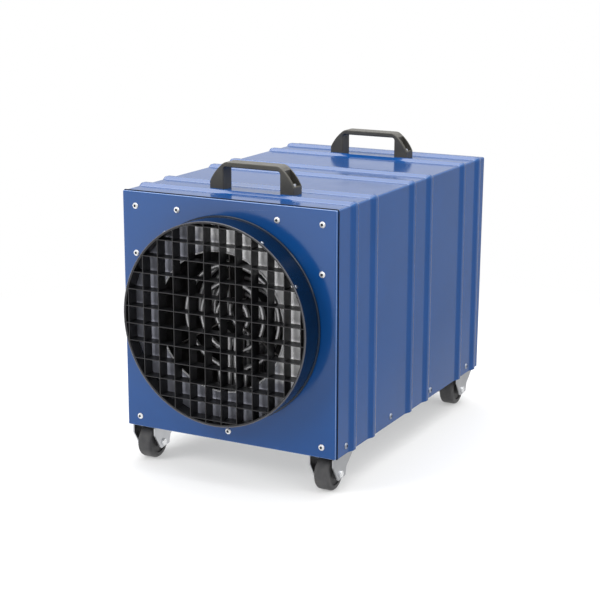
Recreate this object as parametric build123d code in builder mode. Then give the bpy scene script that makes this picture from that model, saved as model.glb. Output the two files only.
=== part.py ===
"""Electric forced air heater: a beaded sheet steel casing on four swivel castors.

Millimetres. +Z is up, the air leaves towards -Y, and X runs across the casing. The origin is on the
floor, under the middle of the whole machine. Sizes named y, place or depth are measured back from the
face of the front panel until depth() turns them into Y.
"""
from build123d import *
from math import atan2, cos, radians, sin, sqrt
import os

# ---------------------------------------------------------------- driving sizes
sheet = 1.5                    # casing sheet steel
casing_width = 410.0           # over the flats of the side walls
casing_height = 420.0          # from the bottom lip to the top of the shell
casing_depth = 642.0           # from the front panel's face to the top rear edge
rear_rake = 8.0                # the bottom rear edge stands this much further forward
rear_trim = 5.0                # sheet cut away behind the slanted edge
corner_radius = 3.5            # bends of the shell
front_bend = 2.5

bead_height = 4.5              # stiffening beads of the shell, in pairs
bead_crest = 8.0
bead_ramp = 11.0
bead_foot_bend = 12.0          # soft bend where a bead leaves the flat
bead_crest_bend = 3.0          # inner radius of the crest's bends
bead_spacing = 76.0            # between the two beads of a pair
bead_pairs = 3
first_pair = 102.0             # depth of the middle of the first pair
last_pair_inset = 73.0         # from the middle of the last pair to the rear edge
bead_pair_pitch = (casing_depth - last_pair_inset - first_pair) / (bead_pairs - 1)

panel_return = 4.0             # depth of the front panel's folded edge
panel_bend = 2.5
joint_gap = 1.0                # open joint between the front panel's edge and the shell
shell_flange = 31.0            # inward flange at the shell's front

collar_side_gap = 30.0         # between the collar and the side of the panel
collar_radius = min(casing_width, casing_height) / 2 - collar_side_gap  # 175, for a 350 mm hose
collar_wall = 2.0
collar_reach = 50.0            # in front of the panel
collar_offset = 7.0            # above the middle of the panel
collar_flange = 9.0
collar_bead_radius = 2.4       # raised ring where the collar meets the panel
collar_neck_step = 1.0         # the collar is this much smaller where it passes the panel
collar_rim = 0.9               # rounding of its front edge

grille_setback = 1.0
grille_depth = 23.0
grille_pitch = 30.0
grille_strips = 12
grille_strip = 1.2
grille_band = 1.5
seat_gap = 0.3                 # between pieces that are slid together

baffle_width = 55.0            # ring behind the grille
baffle_setback = 29.3          # behind the collar's front edge
baffle_bore = collar_radius - baffle_width
baffle_sheet = 1.2
baffle_lip = 10.0

duct_step = 25.0               # the duct inside the casing is this much smaller than the collar
duct_radius = collar_radius - duct_step
duct_sheet = 1.2
duct_back_gap = 60.0           # from the duct's end to the rear panel
duct_slot_width = 68.0         # slot that lets the rods' legs out
duct_slot_end = 118.0
cradle_depth = 30.0
cradle_width = 170.0
cradle_sheet = 2.0
cradle_from_duct_end = 162.0

rod_radius = 4.25              # tubular heating rods
ring_count = 3
ring_step = 60.0               # between the duct and the outermost rod
ring_outer = duct_radius - ring_step
ring_inner = 30.0
ring_pitch = (ring_outer - ring_inner) / (ring_count - 1)
rod_bend = 8.0
leg_first = 6.0                # the innermost pair of legs stands at this X
leg_pitch = 10.0
layer_first = 18.0             # depth of the first heating element
layer_pitch = 44.0
layer_names = ("front", "middle", "rear")
comb_sheet = 2.0
comb_end = 6.0                 # comb inside the innermost rod's middle
comb_inner = ring_inner - comb_end
comb_margin = 9.0
comb_angles = (90, 210, 330)
rail_gap = 17.0                # between the duct and the element rail under it
rail_width = 84.0
rail_sheet = 2.0
rail_margin = 8.0
leg_end_drop = 11.0            # the legs reach this far below the rail's top
leg_pin_radius = 2.0
leg_pin = 8.0

fan_tip_gap = 5.0
fan_radius = duct_radius - fan_tip_gap
hub_radius = 45.0
hub_length = 42.0
hub_rounding = 9.0
blade_count = 7
blade_sheet = 3.0
blade_root_chord = 50.0
blade_tip_chord = 74.0
blade_root_angle = 42.0
blade_tip_angle = 24.0
fan_from_duct_end = 110.0      # from the fan's middle to the duct's rear end
motor_radius = 52.0
motor_length = 88.0
motor_rounding = 6.0
motor_gap = 12.0
motor_boss_radius = 20.0
motor_boss = 5.0
shaft_radius = 7.0
shaft_seat = 22.0              # length of the shaft inside the motor
running_gap = 0.06             # radial clearance of turning and sliding pieces
mount_band = 3.0
mount_width = 24.0
mount_setback = 30.0
mount_arms = 4
arm_sheet = 4.0

pan_drop = 22.0                # underside of the pan's floor above the shell's lip
pan_sheet = 2.0
pan_skirt_lift = 1.5           # the skirt ends this far above the lip
pan_upstand = 20.0
pan_upstand_inset = 4.0

rear_panel_recess = 20.0       # from the top rear edge to the rear panel's face
rear_panel_return = 8.0
frame_leg = 22.0
intake_step = 50.0
intake_radius = collar_radius - intake_step
guard_overlap = 12.0
guard_sheet = 2.0
guard_bar = 3.0
guard_slot = 9.0
guard_rings = 8
guard_hub = 28.0
guard_spoke = 6.0
guard_spokes = 6
guard_screws = 4

handle_span = 164.0            # over the feet
handle_depth = 30.0
handle_height = 48.0
handle_opening = 110.0
handle_bar = 9.0
handle_foot_height = 13.0       # upright part of a foot's outer side
handle_knee_inset = 24.0       # the slope above it ends this far in
handle_knee_drop = 4.5         # and this far below the top
handle_slope_bulge = 2.3
handle_knee_bulge = 0.9
handle_flat_inset = 34.0       # where the flat top starts
handle_wall = 7.0              # between the finger opening and a foot's pocket
handle_cheek = 4.5
handle_foot_block = 14.0
handle_pocket_top = 41.0
handle_corner = 5.0
handle_edge = 2.2
handle_screw_radius = 3.0
handle_screw_head = 5.5
handle_screw_rise = 3.2
handle_screw_length = 20.0
front_handle_place = 99.5
rear_handle_inset = 80.0
rear_handle_place = casing_depth - rear_handle_inset

wheel_radius = 30.0
wheel_width = 28.0
tyre_shoulder = 5.0
wheel_recess = 3.0
wheel_recess_radius = 21.0
hub_outer_radius = 10.0
axle_radius = 4.0
castor_inset = 29.2            # from a wheel's middle to the side of the casing
castor_track = casing_width - 2 * castor_inset
front_axle = 33.0              # depth of the front axle
rear_axle_inset = 67.0
rear_axle = casing_depth - rear_axle_inset
castor_trail = 14.0            # the axle stands this far in front of the swivel axis
fork_width = 46.0              # over the outside of the two legs
fork_sheet = 2.5
wheel_gap = 2.5                # between a wheel and the fork over it
fork_top = 2 * wheel_radius + wheel_gap
fork_gap = 2.5                 # between the fork and the casing's lip
floor_clearance = fork_top + fork_gap
fork_front = 28.0              # fork in front of its axle
fork_rear = 47.0
fork_bridge_front = -11.0      # the sheet over the wheel starts here, measured behind the axle
fork_corners = [               # a fork leg's outline: distance behind the axle and height above the floor
    (-fork_front, fork_top),
    (-fork_front, wheel_radius + 19.0),
    (-9.0, wheel_radius - 10.0),
    (18.0, wheel_radius - 7.0),
    (22.0, wheel_radius + 8.0),
    (36.0, wheel_radius + 19.0),
    (fork_rear, fork_top - 4.0),
    (fork_rear, fork_top),
]
crown_radius = 23.0
crown_height = 14.0
crown_top = fork_top + crown_height
crown_recess = 6.0
crown_recess_radius = 11.0
race_radius = 20.0
kingpin_radius = 5.0
kingpin_head_radius = 9.0
kingpin_head = 3.0
castor_plate_width = 50.0
castor_plate_length = 56.0
castor_plate_sheet = 2.5
castor_play = 0.1
axle_head = 2.8
axle_head_radius = 6.0
hub_play = 0.2
castor_bolt_radius = 3.0
castor_bolt_head = 5.0
castor_bolt_rise = 3.5
castor_bolt_end = 6.0          # bolt above the pan's floor
castor_nut = 4.0
castor_bolt_inset = 8.0

screw_head_radius = 5.2
screw_head_height = 2.6
screw_recess = 1.4
screw_recess_width = 1.3
screw_radius = 2.4
screw_length = 14.0
side_screw_length = 6.0
screw_inset_x = 26.0           # from the side of the front panel
screw_inset_top = 25.0
screw_inset_bottom = 19.0
screw_top_inner = 96.0
screw_side_drop = 107.0        # second side screw below the top edge
side_screw_height = 14.0       # above the lip
side_screw_first = 39.0
side_screw_from_bead = 22.8    # third screw behind a bead's middle
side_screw_last_inset = 67.0   # last screw from the rear edge
rear_screw_inset = 20.0
rear_screw_x = 60.0
collar_screw_angles = (28, 58, 122, 152)
collar_screw_radius = 1.6
collar_screw_head = 3.0
collar_screw_sink = 1.1        # the screws lie flush, so that a hose slides over them
collar_screw_height = 1.0
collar_screw_length = 4.5
collar_screw_setback = 6.0

knob_radius = 17.0
knob_disc = 6.0
knob_height = 17.0
knob_grip = 8.0
knob_edge = 1.2
spindle_radius = 3.0
spindle_length = 20.0
knob_inset = 55.0              # from the side of the casing
knob_x = casing_width / 2 - knob_inset
knob_drop = 55.0               # below the casing's top
switch_size = 38.0
switch_depth = 44.0
thermostat_size = 34.0
thermostat_depth = 30.0
small_row_drop = 42.0          # row of lamps and the reset button
lamp_insets = (99.0, 123.0)
lamp_x = [casing_width / 2 - inset for inset in lamp_insets]
lamp_names = ("power_lamp", "heat_lamp")
lamp_radius = 6.0
lamp_rise = 4.0
lamp_edge = 3.2
lamp_body_radius = 5.0
lamp_body_length = 22.0
reset_inset = 105.0
reset_x = reset_inset - casing_width / 2
reset_radius = 3.5
reset_bush_radius = 7.0
reset_bush_height = 5.0
reset_travel = 2.0
reset_rise = 3.0               # button out of its bush when it isn't pressed
reset_length = 22.0
limit_size = 28.0
limit_depth = 30.0
inlet_inset = 65.0
inlet_x = inlet_inset - casing_width / 2
inlet_height = 78.0            # above the lip
inlet_radius = 28.2
inlet_wall = 2.5
inlet_reach = 14.0
inlet_back = 30.0
inlet_floor = 4.0
inlet_flange_radius = 36.0
inlet_flange = 3.0
inlet_pin_radius = 3.0
inlet_pin_circle = 15.0
inlet_pin_count = 5
inlet_pin_length = 28.0

mounting_rail_width = 35.0     # top-hat rail of the electrics
mounting_rail_web = 25.0
mounting_rail_height = 7.5
mounting_rail_length = 180.0
mounting_rail_place = casing_depth / 2
mounting_rail_sheet = 1.5
electrics_inset = 47.0
electrics_x = casing_width / 2 - electrics_inset
electrics_spread = 44.0
contactor_width = 45.0
contactor_length = 46.0
contactor_height = 62.0
contactor_step = 18.0
contactor_top_width = 28.0
terminal_length = 74.0
terminal_width = 42.0
terminal_height = 36.0
terminal_poles = 6
terminal_slot_width = 5.0
terminal_slot = 9.0
overheat_place = 180.0
overheat_radius = 12.0
overheat_height = 14.0
overheat_plate = 30.0

# ---------------------------------------------------------------- places worked out from them
overall_depth = collar_reach + casing_depth


def depth(y):
    """Y of a depth measured back from the front panel's face."""
    return y + collar_reach - overall_depth / 2


lip = floor_clearance
top = lip + casing_height
half = casing_width / 2
axis_z = lip + casing_height / 2 + collar_offset
shell_front = panel_return + joint_gap
bead_depths = [
    first_pair + pair * bead_pair_pitch + side * bead_spacing / 2
    for pair in range(bead_pairs)
    for side in (-1, 1)
]
collar_bore = collar_radius - collar_wall
collar_neck = collar_radius - collar_neck_step
band_radius = collar_bore - seat_gap
pan_under = lip + pan_drop
pan_top = pan_under + pan_sheet
rear_face = casing_depth - rear_panel_recess
duct_front = sheet + collar_wall
duct_end = rear_face - duct_back_gap
duct_bore = duct_radius - duct_sheet
cradle_place = duct_end - cradle_from_duct_end
layer_depths = [layer_first + i * layer_pitch for i in range(len(layer_names))]
ring_radii = [ring_outer - i * ring_pitch for i in range(ring_count)]
leg_places = [leg_first + (ring_count - 1 - i) * leg_pitch for i in range(ring_count)]
rail_top = axis_z - duct_radius - rail_gap
rail_height = rail_top - pan_top
fan_place = duct_end - fan_from_duct_end
motor_front = fan_place + hub_length / 2 + motor_gap
inner_half = half - sheet
shell_seat = -(sheet + seat_gap)
castors = {
    "front_left": (-castor_track / 2, front_axle),
    "front_right": (castor_track / 2, front_axle),
    "rear_left": (-castor_track / 2, rear_axle),
    "rear_right": (castor_track / 2, rear_axle),
}
front_screw_places = [
    (-half + screw_inset_x, top - screw_inset_top),
    (-screw_top_inner, top - screw_inset_top),
    (screw_top_inner, top - screw_inset_top),
    (half - screw_inset_x, top - screw_inset_top),
    (-half + screw_inset_x, top - screw_side_drop),
    (half - screw_inset_x, top - screw_side_drop),
    (-half + screw_inset_x, lip + screw_inset_bottom),
    (0, lip + screw_inset_bottom),
    (half - screw_inset_x, lip + screw_inset_bottom),
]
side_screw_depths = [
    side_screw_first,
    first_pair + bead_pair_pitch / 2,
    first_pair + bead_pair_pitch + bead_spacing / 2 + side_screw_from_bead,
    casing_depth - side_screw_last_inset,
]
handle_screw_x = (handle_opening / 2 + handle_wall + handle_span / 2) / 2
handle_screw_places = [
    (side * handle_screw_x, place)
    for place in (front_handle_place, rear_handle_place)
    for side in (-1, 1)
]
castor_bolt_places = [
    (
        x + side_x * (castor_plate_width / 2 - castor_bolt_inset),
        y + castor_trail + side_y * (castor_plate_length / 2 - castor_bolt_inset),
    )
    for x, y in castors.values()
    for side_x in (-1, 1)
    for side_y in (-1, 1)
]
knob_z = top - knob_drop
small_row_z = top - small_row_drop
inlet_z = lip + inlet_height
frame_screw_x = inner_half - frame_leg / 2
rear_screw_drops = [rear_screw_inset, casing_height / 2, casing_height - 3 * rear_screw_inset]
rear_screw_places = [(side * frame_screw_x, top - drop) for side in (-1, 1) for drop in rear_screw_drops]
rear_screw_places += [(side * rear_screw_x, top - sheet - frame_leg / 2) for side in (-1, 1)]
guard_screw_radius = intake_radius + guard_overlap / 2
guard_screw_places = [
    (
        guard_screw_radius * cos(radians(45 + 360 * i / guard_screws)),
        axis_z + guard_screw_radius * sin(radians(45 + 360 * i / guard_screws)),
    )
    for i in range(guard_screws)
]
rail_start = layer_first - rail_margin
rail_end = layer_depths[-1] + rail_margin

os.makedirs("parts", exist_ok=True)


def save(piece, name):
    """Label a finished piece and write it to its own file."""
    piece.label = name
    export_step(piece, f"parts/{name}.step")


def across(y):
    """Plane across the casing at depth y, seen from the front: X right, Z up, normal to the front."""
    return Plane(origin=(0, depth(y), 0), x_dir=(1, 0, 0), z_dir=(0, -1, 0))


def level(z):
    """Horizontal plane at height z."""
    return Plane.XY.offset(z)


def casing_outline(y, margin, foot=lip):
    """Sketch of the casing's section at depth y, pushed out by margin, with its top corners bent."""
    with BuildSketch(across(y)) as outline:
        with Locations((0, foot)):
            Rectangle(
                casing_width + 2 * margin,
                top + margin - foot,
                align=(Align.CENTER, Align.MIN),
            )
        fillet(outline.vertices().group_by(Axis.Y)[-1], corner_radius + margin)
    return outline.sketch


def ring(outer, inner):
    """Flat ring round the origin."""
    with BuildSketch() as flat:
        Circle(outer)
        Circle(inner, mode=Mode.SUBTRACT)
    return flat.sketch


def corners_at(section, height, first=-overall_depth, last=overall_depth):
    """Corners of a flat section that stand at one height between two distances."""
    return [
        corner
        for corner in section.vertices()
        if abs(corner.Y - height) < 0.01 and first < corner.X < last
    ]


# ---------------------------------------------------------------- casing
# the sheet's own section along the casing, standing at the left wall's bottom lip
wall_plane = Plane(origin=(-half, 0, lip), x_dir=(0, 1, 0), z_dir=(0, 0, 1))
slope_shift = sheet * (sqrt(bead_height**2 + bead_ramp**2) - bead_ramp) / bead_height
turn = front_bend + 0.5
ends = (depth(shell_front), depth(shell_front + sheet), depth(casing_depth + rear_trim))
outer_points = [(ends[0], -turn), (ends[0], 0)]
inner_points = [(ends[1], -turn), (ends[1], -sheet)]
for middle in bead_depths:
    crest, foot = bead_crest / 2, bead_crest / 2 + bead_ramp
    outer_points += [
        (depth(middle - foot), 0),
        (depth(middle - crest), bead_height),
        (depth(middle + crest), bead_height),
        (depth(middle + foot), 0),
    ]
    inner_points += [
        (depth(middle - foot) + slope_shift, -sheet),
        (depth(middle - crest) + slope_shift, bead_height - sheet),
        (depth(middle + crest) - slope_shift, bead_height - sheet),
        (depth(middle + foot) - slope_shift, -sheet),
    ]
outer_points.append((ends[2], 0))
inner_points.append((ends[2], -sheet))
with BuildSketch(wall_plane) as wall_section:
    Polygon(*outer_points, *reversed(inner_points), align=None)
    fillet(corners_at(wall_section, 0, last=ends[1]), front_bend)
    fillet(corners_at(wall_section, -sheet, last=ends[1] + 1), front_bend - sheet)
    flat_start, flat_stop = depth(shell_front + 2 * front_bend), depth(casing_depth - 1)
    fillet(corners_at(wall_section, 0, flat_start, flat_stop), bead_foot_bend)
    fillet(corners_at(wall_section, -sheet, flat_start, flat_stop), bead_foot_bend + sheet)
    fillet(corners_at(wall_section, bead_height - sheet), bead_crest_bend)
    fillet(corners_at(wall_section, bead_height), bead_crest_bend + sheet)

with BuildPart() as outer_shell:
    with BuildLine() as bend_path:
        FilletPolyline(
            (-half, 0, lip), (-half, 0, top), (half, 0, top), (half, 0, lip), radius=corner_radius
        )
    sweep(wall_section.sketch, path=bend_path.line)
    extrude(casing_outline(shell_front, -turn), amount=-sheet)
    # the front flange leaves a window for the air duct
    with BuildSketch(across(shell_front - 1)):
        with Locations((0, lip - 1)):
            Rectangle(
                casing_width - 2 * shell_flange,
                casing_height - shell_flange + 1,
                align=(Align.CENTER, Align.MIN),
            )
        with Locations(front_screw_places):
            Circle(screw_radius + seat_gap)
    extrude(amount=-(sheet + 2), mode=Mode.SUBTRACT)
    # the rear edge is cut at a slant, so the top overhangs the bottom
    with BuildSketch(Plane.YZ):
        Polygon(
            (depth(casing_depth), top + 2 * bead_height),
            (depth(casing_depth), top),
            (depth(casing_depth - rear_rake), lip),
            (depth(casing_depth - rear_rake), lip - 2),
            (depth(casing_depth + 2 * rear_trim), lip - 2),
            (depth(casing_depth + 2 * rear_trim), top + 2 * bead_height),
            align=None,
        )
    extrude(amount=casing_width, both=True, mode=Mode.SUBTRACT)
    with Locations([Location((0, depth(y), lip + side_screw_height), (0, 90, 0)) for y in side_screw_depths]):
        Cylinder(screw_radius + seat_gap, casing_width + 20, mode=Mode.SUBTRACT)
    with Locations([(x, depth(y), top) for x, y in handle_screw_places]):
        Cylinder(handle_screw_radius + seat_gap, 4 * sheet, mode=Mode.SUBTRACT)
save(outer_shell.part, "outer_shell")

with BuildPart() as front_panel:
    with BuildSketch(across(0)):
        with Locations((0, lip + casing_height / 2)):
            RectangleRounded(casing_width, casing_height, panel_bend)
    extrude(amount=-panel_return)
    fillet(front_panel.edges().group_by(Axis.Y)[0], panel_bend * 0.9)
    with BuildSketch(across(sheet)):
        with Locations((0, lip + casing_height / 2)):
            Rectangle(casing_width - 2 * sheet, casing_height - 2 * sheet)
    extrude(amount=-panel_return, mode=Mode.SUBTRACT)
    with BuildSketch(across(-1)):
        with Locations((0, axis_z)):
            Circle(collar_neck + seat_gap)
        with Locations(front_screw_places):
            Circle(screw_radius + seat_gap)
    extrude(amount=-(sheet + 2), mode=Mode.SUBTRACT)
save(front_panel.part, "front_panel")

with BuildPart() as base_pan:
    pan_half = inner_half - seat_gap
    pan_front = shell_front + sheet + seat_gap
    pan_back = rear_face - sheet - seat_gap
    skirt = lip + pan_skirt_lift
    with Locations((0, depth((pan_front + pan_back) / 2), skirt)):
        Box(
            2 * pan_half,
            pan_back - pan_front,
            pan_top - skirt,
            align=(Align.CENTER, Align.CENTER, Align.MIN),
        )
        Box(
            2 * (pan_half - pan_sheet),
            pan_back - pan_front - 2 * pan_sheet,
            pan_under - skirt,
            align=(Align.CENTER, Align.CENTER, Align.MIN),
            mode=Mode.SUBTRACT,
        )
    with Locations((0, depth(pan_back - pan_sheet / 2), pan_top)):
        Box(
            2 * (inner_half - frame_leg - pan_upstand_inset),
            pan_sheet,
            pan_upstand,
            align=(Align.CENTER, Align.CENTER, Align.MIN),
        )
    with Locations([Location((0, depth(y), lip + side_screw_height), (0, 90, 0)) for y in side_screw_depths]):
        Cylinder(screw_radius + seat_gap, casing_width, mode=Mode.SUBTRACT)
    with BuildSketch(across(pan_front - 1)):
        with Locations([place for place in front_screw_places if place[1] < pan_under]):
            Circle(screw_radius + seat_gap)
    extrude(amount=-(pan_sheet + 2), mode=Mode.SUBTRACT)
    with BuildSketch(level(pan_under - 1)):
        with Locations([(x, depth(y)) for x, y in castor_bolt_places]):
            Circle(castor_bolt_radius + seat_gap)
    extrude(amount=pan_sheet + 2, mode=Mode.SUBTRACT)
save(base_pan.part, "base_pan")

with BuildPart() as rear_frame:
    # angle inside the shell's sides and top, which the rear panel is screwed to
    frame_back = rear_face - sheet
    extrude(casing_outline(frame_back - frame_leg, shell_seat, pan_top), amount=-frame_leg)
    extrude(
        casing_outline(frame_back - frame_leg - 1, shell_seat - sheet, pan_top - 1),
        amount=-(frame_leg - sheet + 1),
        mode=Mode.SUBTRACT,
    )
    with BuildSketch(across(frame_back - 2 * sheet)):
        with Locations((0, pan_top - 1)):
            Rectangle(
                2 * (inner_half - frame_leg),
                top - sheet - frame_leg - pan_top + 1,
                align=(Align.CENTER, Align.MIN),
            )
        with Locations(rear_screw_places):
            Circle(screw_radius + seat_gap)
    extrude(amount=-3 * sheet, mode=Mode.SUBTRACT)
save(rear_frame.part, "rear_frame")

with BuildPart() as rear_panel:
    panel_foot = lip + pan_skirt_lift
    extrude(casing_outline(rear_face - sheet, shell_seat, panel_foot), amount=-(rear_panel_return + sheet))
    with BuildSketch(across(rear_face)):
        with Locations((0, panel_foot + sheet)):
            Rectangle(
                2 * (half + shell_seat - sheet),
                top + shell_seat - 2 * sheet - panel_foot,
                align=(Align.CENTER, Align.MIN),
            )
    extrude(amount=-(rear_panel_return + 1), mode=Mode.SUBTRACT)
    with BuildSketch(across(rear_face - sheet - 1)):
        with Locations((0, axis_z)):
            Circle(intake_radius)
        with Locations(rear_screw_places + guard_screw_places):
            Circle(screw_radius + seat_gap)
        with Locations((knob_x, knob_z), (-knob_x, knob_z)):
            Circle(spindle_radius + seat_gap)
        with Locations([(x, small_row_z) for x in lamp_x]):
            Circle(lamp_body_radius + seat_gap)
        with Locations((reset_x, small_row_z)):
            Circle(reset_bush_radius + seat_gap)
        with Locations((inlet_x, inlet_z)):
            Circle(inlet_radius + seat_gap)
    extrude(amount=-(sheet + 2), mode=Mode.SUBTRACT)
save(rear_panel.part, "rear_panel")

with BuildPart() as intake_guard:
    with BuildSketch(across(rear_face)):
        with Locations((0, axis_z)):
            add(ring(intake_radius + guard_overlap, intake_radius - guard_bar))
            for i in range(1, guard_rings):
                outer = intake_radius - i * (guard_bar + guard_slot)
                add(ring(outer, outer - guard_bar))
            Circle(guard_hub)
            with PolarLocations((guard_hub + intake_radius) / 2, guard_spokes, start_angle=90):
                Rectangle(intake_radius - guard_hub + 2 * guard_bar, guard_spoke)
        with Locations(guard_screw_places):
            Circle(screw_radius + seat_gap, mode=Mode.SUBTRACT)
    extrude(amount=-guard_sheet)
save(intake_guard.part, "intake_guard")

# ---------------------------------------------------------------- outlet
with BuildPart() as outlet_collar:
    # one turned section, from the front edge over the raised ring to the flange behind the panel
    bead_front = depth(-2 * collar_bead_radius)
    with BuildSketch(Plane.YZ):
        with BuildLine():
            ThreePointArc(
                (bead_front, axis_z + collar_radius),
                (depth(-collar_bead_radius), axis_z + collar_radius + collar_bead_radius),
                (depth(0), axis_z + collar_radius),
            )
            Polyline(
                (depth(0), axis_z + collar_radius),
                (depth(0), axis_z + collar_neck),
                (depth(sheet), axis_z + collar_neck),
                (depth(sheet), axis_z + collar_radius + collar_flange),
                (depth(duct_front), axis_z + collar_radius + collar_flange),
                (depth(duct_front), axis_z + collar_bore),
                (depth(-collar_reach), axis_z + collar_bore),
                (depth(-collar_reach), axis_z + collar_radius),
                (bead_front, axis_z + collar_radius),
            )
        make_face()
    revolve(axis=Axis((0, 0, axis_z), (0, 1, 0)))
    fillet(outlet_collar.edges().group_by(Axis.Y)[0], collar_rim)
    with Locations(
        [
            Location((0, depth(collar_screw_setback - collar_reach), axis_z), (0, 90 - angle, 0))
            for angle in collar_screw_angles
        ]
    ):
        Cylinder(
            collar_screw_radius + seat_gap,
            collar_radius + 5,
            align=(Align.CENTER, Align.CENTER, Align.MIN),
            mode=Mode.SUBTRACT,
        )
        with Locations((0, 0, collar_radius - collar_screw_sink)):
            Cylinder(
                collar_screw_head + seat_gap,
                5,
                align=(Align.CENTER, Align.CENTER, Align.MIN),
                mode=Mode.SUBTRACT,
            )
save(outlet_collar.part, "outlet_collar")

with BuildPart() as outlet_grille:
    with BuildSketch(across(grille_setback - collar_reach)):
        with Locations((0, axis_z)):
            with GridLocations(0, grille_pitch, 1, grille_strips):
                Rectangle(2 * band_radius, grille_strip)
            with GridLocations(grille_pitch, 0, grille_strips, 1):
                Rectangle(grille_strip, 2 * band_radius)
            Circle(band_radius - grille_band / 2, mode=Mode.INTERSECT)
            add(ring(band_radius, band_radius - grille_band))
    extrude(amount=-grille_depth)
    with Locations(
        [
            Location((0, depth(collar_screw_setback - collar_reach), axis_z), (0, 90 - angle, 0))
            for angle in collar_screw_angles
        ]
    ):
        with Locations((0, 0, band_radius)):
            Cylinder(collar_screw_radius + seat_gap, 4 * grille_band, mode=Mode.SUBTRACT)
save(outlet_grille.part, "outlet_grille")

with BuildPart() as baffle_ring:
    baffle_front = baffle_setback - collar_reach
    with BuildSketch(across(baffle_front)):
        with Locations((0, axis_z)):
            add(ring(band_radius, baffle_bore))
    extrude(amount=-baffle_sheet)
    with BuildSketch(across(baffle_front)):
        with Locations((0, axis_z)):
            add(ring(band_radius, band_radius - baffle_sheet))
    extrude(amount=-baffle_lip)
save(baffle_ring.part, "baffle_ring")

# ---------------------------------------------------------------- air duct and heating elements
with BuildPart() as air_duct:
    with BuildSketch(across(duct_front)):
        with Locations((0, axis_z)):
            add(ring(duct_radius, duct_bore))
    extrude(amount=-(duct_end - duct_front))
    with BuildSketch(across(duct_front)):
        with Locations((0, axis_z)):
            add(ring(collar_radius + collar_flange, duct_bore))
    extrude(amount=-duct_sheet)
    with BuildSketch(level(rail_top)):
        with Locations((0, depth((rail_start + duct_slot_end) / 2))):
            Rectangle(duct_slot_width, duct_slot_end - rail_start)
    extrude(amount=axis_z - rail_top - ring_outer, mode=Mode.SUBTRACT)
save(air_duct.part, "air_duct")

with BuildPart() as duct_cradle:
    cradle_radius = duct_radius + seat_gap
    with BuildSketch(across(cradle_place)):
        with Locations((0, pan_top)):
            Rectangle(cradle_width, cradle_depth + duct_radius / 3, align=(Align.CENTER, Align.MIN))
        with Locations((0, axis_z)):
            Circle(cradle_radius, mode=Mode.SUBTRACT)
    extrude(amount=-cradle_sheet)
    with BuildSketch(across(cradle_place)):
        with Locations((0, axis_z)):
            add(ring(cradle_radius + cradle_sheet, cradle_radius))
        with Locations((0, pan_top)):
            Rectangle(
                cradle_width,
                cradle_depth + duct_radius / 3,
                align=(Align.CENTER, Align.MIN),
                mode=Mode.INTERSECT,
            )
    extrude(amount=-cradle_depth)
    with Locations((0, depth(cradle_place + cradle_depth / 2), pan_top)):
        Box(cradle_width, cradle_depth, cradle_sheet, align=(Align.CENTER, Align.CENTER, Align.MIN))
save(duct_cradle.part, "duct_cradle")

for name, y in zip(layer_names, layer_depths):
    with BuildPart() as heating_element:
        for radius, leg in zip(ring_radii, leg_places):
            reach = leg + rod_bend
            drop = sqrt((radius + rod_bend) ** 2 - reach**2)
            meet = radius / (radius + rod_bend)
            half_turn = atan2(drop, -reach) / 2 + radians(90)
            foot_z = rail_top - leg_end_drop
            with BuildLine(across(y)) as rod_path:
                for side in (-1, 1):
                    Line((side * leg, foot_z), (side * leg, axis_z - drop))
                    ThreePointArc(
                        (side * leg, axis_z - drop),
                        (
                            side * (reach + rod_bend * cos(half_turn)),
                            axis_z - drop + rod_bend * sin(half_turn),
                        ),
                        (side * meet * reach, axis_z - meet * drop),
                    )
                ThreePointArc(
                    (-meet * reach, axis_z - meet * drop),
                    (0, axis_z + radius),
                    (meet * reach, axis_z - meet * drop),
                )
            rod_line = rod_path.wires()[0]
            with BuildSketch(Plane(origin=rod_line @ 0, z_dir=rod_line % 0)) as rod_section:
                Circle(rod_radius)
            sweep(rod_section.sketch, path=rod_line)
            with Locations((-leg, depth(y), foot_z), (leg, depth(y), foot_z)):
                Cylinder(leg_pin_radius, leg_pin, align=(Align.CENTER, Align.CENTER, Align.MAX))
    save(heating_element.part, f"heating_element_{name}")

with BuildPart() as element_comb:
    comb_outer = duct_bore - seat_gap
    with BuildSketch():
        with Locations(((comb_inner + comb_outer) / 2, 0)):
            Rectangle(comb_outer - comb_inner, layer_depths[-1] - layer_first + 2 * comb_margin)
        for y in layer_depths:
            with Locations([(radius, y - (layer_first + layer_depths[-1]) / 2) for radius in ring_radii]):
                Circle(rod_radius + seat_gap, mode=Mode.SUBTRACT)
    extrude(amount=comb_sheet / 2, both=True)

with BuildPart() as element_combs:
    comb_y = depth((layer_first + layer_depths[-1]) / 2)
    with Locations([Location((0, comb_y, axis_z), (0, -angle, 0)) for angle in comb_angles]):
        add(element_comb.part)
save(element_combs.part, "element_combs")

with BuildPart() as element_rail:
    with Locations((0, depth((rail_start + rail_end) / 2), pan_top)):
        Box(rail_width, rail_end - rail_start, rail_height, align=(Align.CENTER, Align.CENTER, Align.MIN))
        Box(
            rail_width - 2 * rail_sheet,
            rail_end - rail_start + 2,
            rail_height - rail_sheet,
            align=(Align.CENTER, Align.CENTER, Align.MIN),
            mode=Mode.SUBTRACT,
        )
    with BuildSketch(level(rail_top)):
        for y in layer_depths:
            with Locations([(side * leg, depth(y)) for leg in leg_places for side in (-1, 1)]):
                Circle(rod_radius + seat_gap)
    extrude(amount=-2 * rail_sheet, mode=Mode.SUBTRACT)
save(element_rail.part, "element_rail")

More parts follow.
